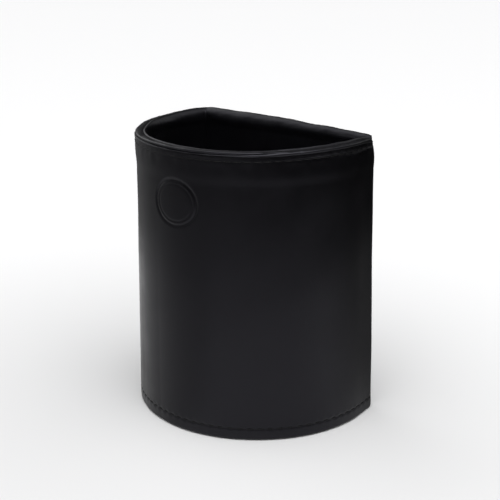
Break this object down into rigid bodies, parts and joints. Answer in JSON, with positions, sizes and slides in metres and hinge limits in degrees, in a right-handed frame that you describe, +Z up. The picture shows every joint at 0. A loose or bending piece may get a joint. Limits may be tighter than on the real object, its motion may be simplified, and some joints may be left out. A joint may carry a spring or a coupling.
{
  "type": "pen cup",
  "caption": "Half-round leather pen cup with a flat back, a padded rim, a topstitched hem and an open well.",
  "frame": {"origin": "middle of the footprint, on the surface the cup stands on", "axes": "+Z up, out of the cup's mouth; +Y towards the flat back panel; -Y towards the curved front; +X across the cup"},
  "size_m": [0.086, 0.0624, 0.1],
  "materials": {
    "cover_leather": "smooth black leather with a soft sheen",
    "lining_leather": "smooth black leather, a little glossier on the padded rim",
    "board": "stiff grey bookbinding board, hidden",
    "padding": "soft cotton piping cord, hidden",
    "pad_fabric": "black felt",
    "thread": "waxed black sewing thread"
  },
  "bodies": {
    "root": {"front_board": "board", "back_board": "board", "base_board": "board", "front_rim_cord": "padding", "back_rim_cord": "padding", "front_lining": "lining_leather", "back_lining": "lining_leather", "floor_lining": "lining_leather", "front_cover": "cover_leather", "back_cover": "cover_leather", "base_pad": "pad_fabric", "rim_stitching": "thread", "base_stitching": "thread"}
  },
  "joints": []
}
